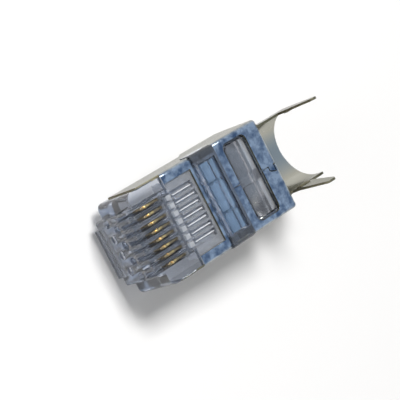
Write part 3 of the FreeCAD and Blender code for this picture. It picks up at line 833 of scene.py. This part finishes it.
class PLUG_OT_stage(bpy.types.Operator):
    """Build the ground, lamps, world and camera"""

    bl_idname = "plug.stage"
    bl_label = "Stage"

    def execute(self, context):
        make_ground()
        make_lamps()
        make_world()
        make_camera()
        context.scene.view_settings.view_transform = "Standard"
        return {"FINISHED"}


# ------------------------------------------------------------------------ stage


def rest_height(x):
    """Height of the table under the plug, which lies on its latch's root and tip."""
    (front, front_height), (back, back_height) = LATCH_FEET
    return front_height + (back_height - front_height) * (x - front) / (back - front)


def make_ground():
    """Square ground that leans as the resting plug does against its own frame."""
    half = bpy.context.scene.plug_stage.ground_width / 2
    corners = [(-half, -half), (half, -half), (half, half), (-half, half)]
    mesh = bpy.data.meshes.new("ground")
    mesh.from_pydata([(x, y, rest_height(x)) for x, y in corners], [], [(0, 1, 2, 3)])
    mesh.materials.append(pale_ground())
    in_scene("ground", mesh)


def make_lamps():
    """Square lamps that look at the plug's middle."""
    target = Vector(LAMP_TARGET)
    for name, place, width, power, colour in LAMPS:
        lamp = bpy.data.lights.new(name, "AREA")
        lamp.shape = "SQUARE"
        lamp.size = width
        lamp.energy = getattr(bpy.context.scene.plug_stage, power)
        lamp.color = colour
        holder = in_scene(name, lamp)
        holder.location = place
        holder.rotation_euler = (target - Vector(place)).to_track_quat("-Z", "Y").to_euler()


def make_world():
    """White to the eye, even for diffuse light, and a blue-grey sky in reflections."""
    world = bpy.data.worlds.new("studio")
    bpy.context.scene.world = world
    world.use_nodes = True
    tree = world.node_tree
    direction = tree.nodes.new("ShaderNodeTexCoord").outputs["Generated"]
    height = add_node(tree, "ShaderNodeSeparateXYZ", {0: direction}).outputs["Z"]
    sky = add_node(tree, "ShaderNodeValToRGB", {"Fac": height})
    fill_ramp(sky.color_ramp, SKY)
    rays = tree.nodes.new("ShaderNodeLightPath").outputs
    mirrored = maths(tree, "MAXIMUM", rays["Is Glossy Ray"], rays["Is Transmission Ray"])
    even = [channel * bpy.context.scene.plug_stage.world_light for channel in WHITE]
    light = blended(tree, mirrored, even, sky.outputs["Color"])
    light = blended(tree, rays["Is Camera Ray"], light, WHITE)
    set_inputs(tree, tree.nodes["Background"], {"Color": light})


def make_camera():
    """Long lens above the nose, leaning over the contact side and turned about its axis."""
    camera = bpy.data.cameras.new("camera")
    camera.sensor_width = 36.0
    camera.lens = bpy.context.scene.plug_stage.lens
    camera.clip_start = 0.005
    ahead = Vector(CAMERA_AHEAD).normalized()
    across = ahead.cross(Vector(CAMERA_UPWARD)).normalized()
    turn = Matrix((across, across.cross(ahead), -ahead)).transposed().to_4x4()
    holder = in_scene("camera", camera)
    holder.matrix_world = Matrix.Translation(CAMERA_PLACE) @ turn
    bpy.context.scene.camera = holder


# ------------------------------------------------------------- panel and running


class PLUG_PT_panel(bpy.types.Panel):
    """Buttons and settings of the plug"""

    bl_label = "Modular Plug"
    bl_space_type = "VIEW_3D"
    bl_region_type = "UI"
    bl_category = "Modular Plug"

    def draw(self, context):
        for operator in OPERATORS:
            self.layout.operator(operator.bl_idname)
        for label, kind in GROUPS.items():
            box = self.layout.box()
            for name in kind.__annotations__:
                box.prop(getattr(context.scene, label), name)


OPERATORS = (
    PLUG_OT_housing, PLUG_OT_fins, PLUG_OT_latch, PLUG_OT_strain_reliefs, PLUG_OT_blades,
    PLUG_OT_shield, PLUG_OT_stage,
)
GROUPS = {
    "plug_finish": PlugFinish,
    "plug_edges": PlugEdges,
    "plug_fins": PlugFins,
    "plug_stage": PlugStage,
}
CLASSES = (*GROUPS.values(), *OPERATORS, PLUG_PT_panel)


def register():
    for item in CLASSES:
        bpy.utils.register_class(item)
    for label, kind in GROUPS.items():
        setattr(bpy.types.Scene, label, PointerProperty(type=kind))


def unregister():
    for label in GROUPS:
        delattr(bpy.types.Scene, label)
    for item in reversed(CLASSES):
        bpy.utils.unregister_class(item)


def main():
    """Build every piece and the stage."""
    register()
    bpy.ops.plug.housing()
    bpy.ops.plug.fins()
    bpy.ops.plug.latch()
    bpy.ops.plug.strain_reliefs()
    bpy.ops.plug.blades()
    bpy.ops.plug.shield()
    bpy.ops.plug.stage()


if __name__ == "__main__":
    main()
